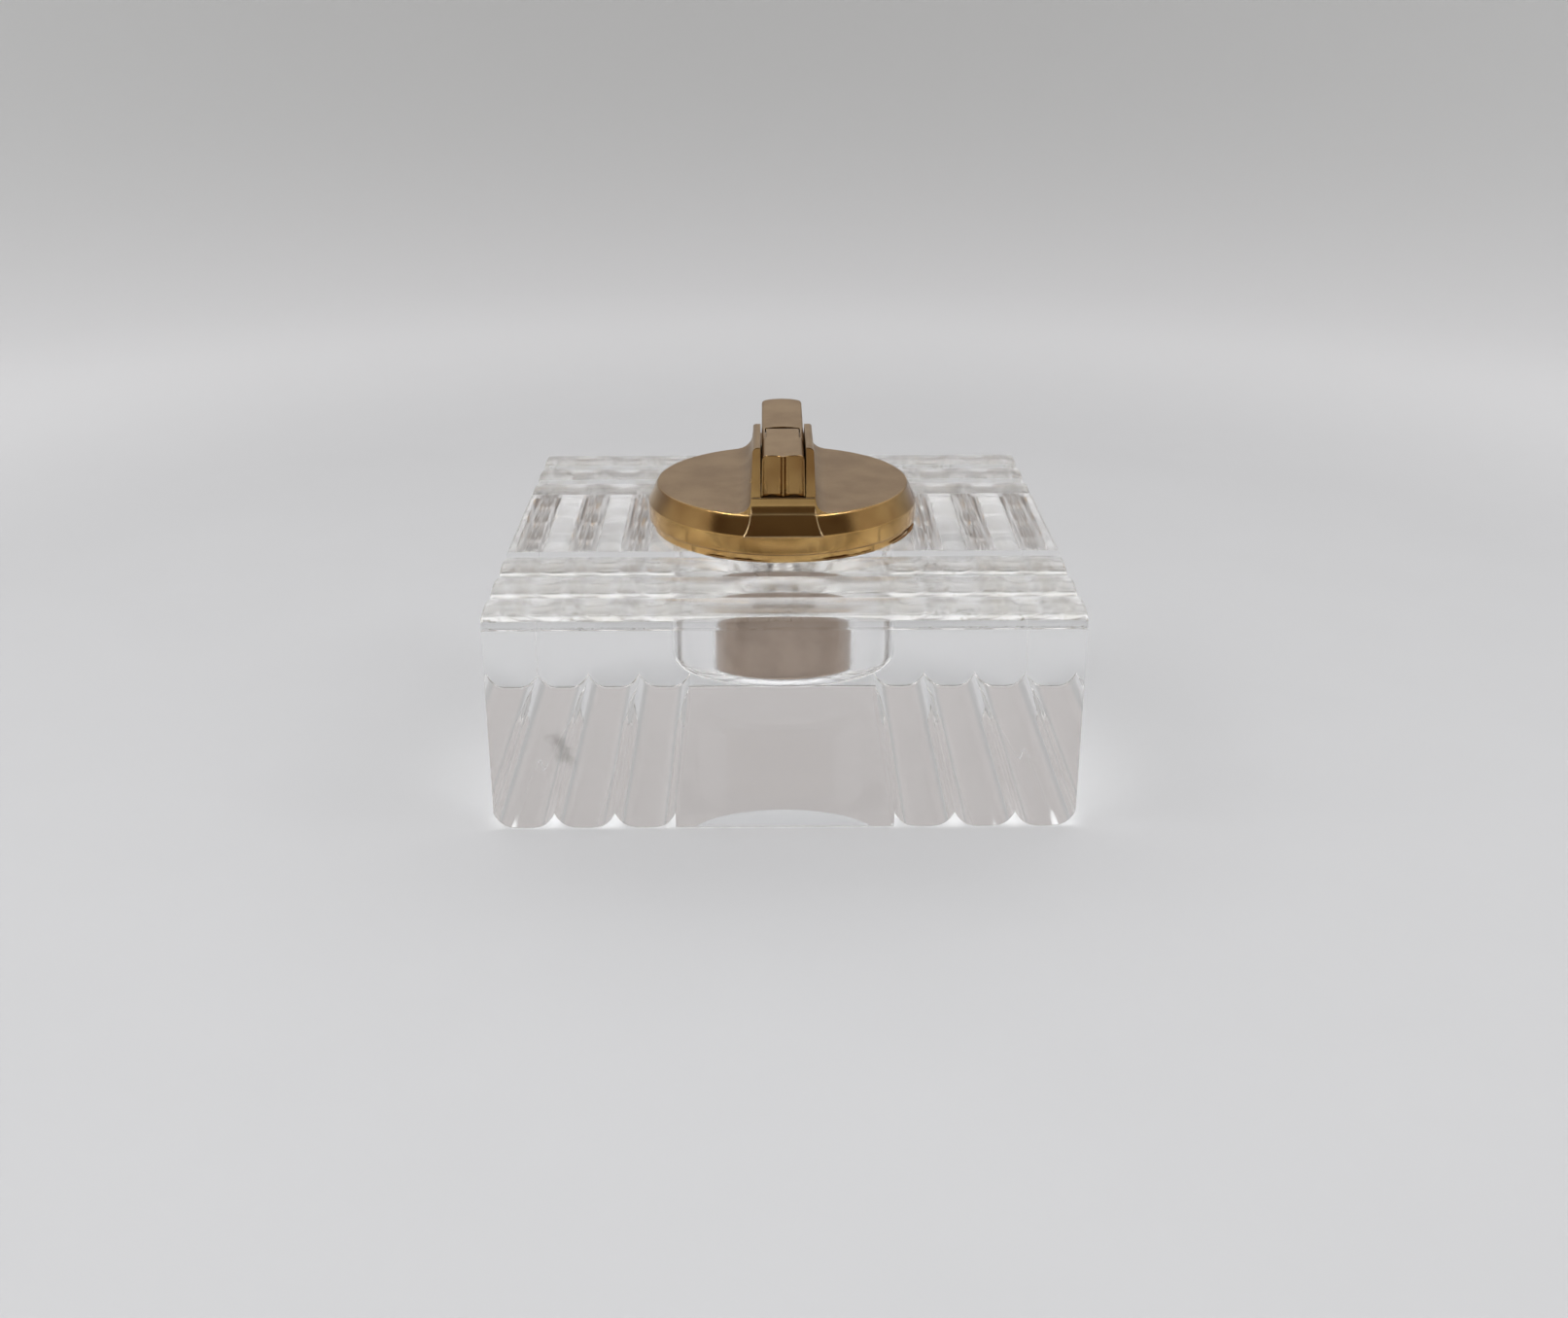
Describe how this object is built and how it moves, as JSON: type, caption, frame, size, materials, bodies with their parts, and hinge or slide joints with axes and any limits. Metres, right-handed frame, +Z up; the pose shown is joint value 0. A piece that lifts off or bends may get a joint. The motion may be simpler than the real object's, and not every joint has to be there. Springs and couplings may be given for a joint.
{
  "type": "table lighter",
  "caption": "Square clear crystal block with ribbed edges and a drop-in brass petrol lighter: round cover, thumb lever, spark wheel and snuffer hood.",
  "frame": {"origin": "middle of the glass block's underside, on the surface that it stands on", "axes": "+Z up, -Y towards the snuffer hood at the front, +X to the right seen from the front"},
  "size_m": [0.1, 0.1, 0.06],
  "materials": {
    "crystal_glass": "fire-polished",
    "satin_brass": "satin gilt, polished bevel and front faces",
    "polished_brass": "polished",
    "dull_tank_metal": "dull plated sheet",
    "hard_steel": "hardened, dark",
    "spring_steel": "bright",
    "flint_alloy": "matt",
    "black_rubber": "matt",
    "red_fibre": "matt",
    "cotton": "woven"
  },
  "bodies": {
    "block": {"glass_block": "crystal_glass"},
    "insert": {"seal_ring": "black_rubber", "base_plate": "polished_brass", "fuel_tank": "dull_tank_metal", "tank_head": "dull_tank_metal", "cotton_packing": "cotton", "filler_gasket": "red_fibre", "flint_tube": "polished_brass", "flint_spring": "spring_steel", "flint": "flint_alloy", "wick_tube": "polished_brass", "wick": "cotton", "cover": "satin_brass", "cover_screws": "spring_steel", "wheel_axle": "spring_steel", "lever_axle": "spring_steel", "return_spring": "spring_steel"},
    "filler_plug": {"filler_screw": "polished_brass"},
    "flint_plug": {"flint_screw": "polished_brass"},
    "wheel": {"spark_wheel": "hard_steel", "ratchet_wheel": "hard_steel"},
    "lever": {"thumb_lever": "satin_brass", "hood_pin": "spring_steel"},
    "pawl": {"drive_pawl": "hard_steel"},
    "snuffer": {"snuffer_hood": "satin_brass", "snuffer_cup": "polished_brass", "snuffer_pad": "black_rubber"}
  },
  "joints": [
    {"name": "insert_lift", "type": "slide", "parent": "block", "child": "insert", "axis": [0, 0, 1], "range_m": [0, 0.03]},
    {"name": "lever_press", "type": "hinge", "parent": "insert", "child": "lever", "pos_m": [0, -0.0015, 0.054], "axis": [-1, 0, 0], "range_deg": [0, 16], "stiffness_Nm_per_rad": 0.25, "springref_deg": -17.19, "deforming": ["return_spring"]},
    {"name": "hood_open", "type": "hinge", "parent": "lever", "child": "snuffer", "pos_m": [0, -0.0083, 0.0567], "axis": [-1, 0, 0], "range_deg": [0, 26]},
    {"name": "pawl_swing", "type": "hinge", "parent": "lever", "child": "pawl", "pos_m": [0, -0.0083, 0.0567], "axis": [-1, 0, 0], "range_deg": [-12, 0]},
    {"name": "wheel_turn", "type": "hinge", "parent": "insert", "child": "wheel", "pos_m": [0, -0.008, 0.05], "axis": [-1, 0, 0], "range_deg": [0, 50]},
    {"name": "filler_turn", "type": "hinge", "parent": "insert", "child": "filler_plug", "pos_m": [0, 0.0055, 0.02], "axis": [0, 0, -1], "continuous": true},
    {"name": "flint_screw_turn", "type": "hinge", "parent": "insert", "child": "flint_plug", "pos_m": [-0.0007, -0.008, 0.02], "axis": [0, 0, -1], "continuous": true}
  ],
  "couplings": [
    {"joint": "hood_open", "follows": "lever_press", "ratio": 1.625},
    {"joint": "pawl_swing", "follows": "lever_press", "ratio": -0.75},
    {"joint": "wheel_turn", "follows": "lever_press", "ratio": 3.1}
  ]
}
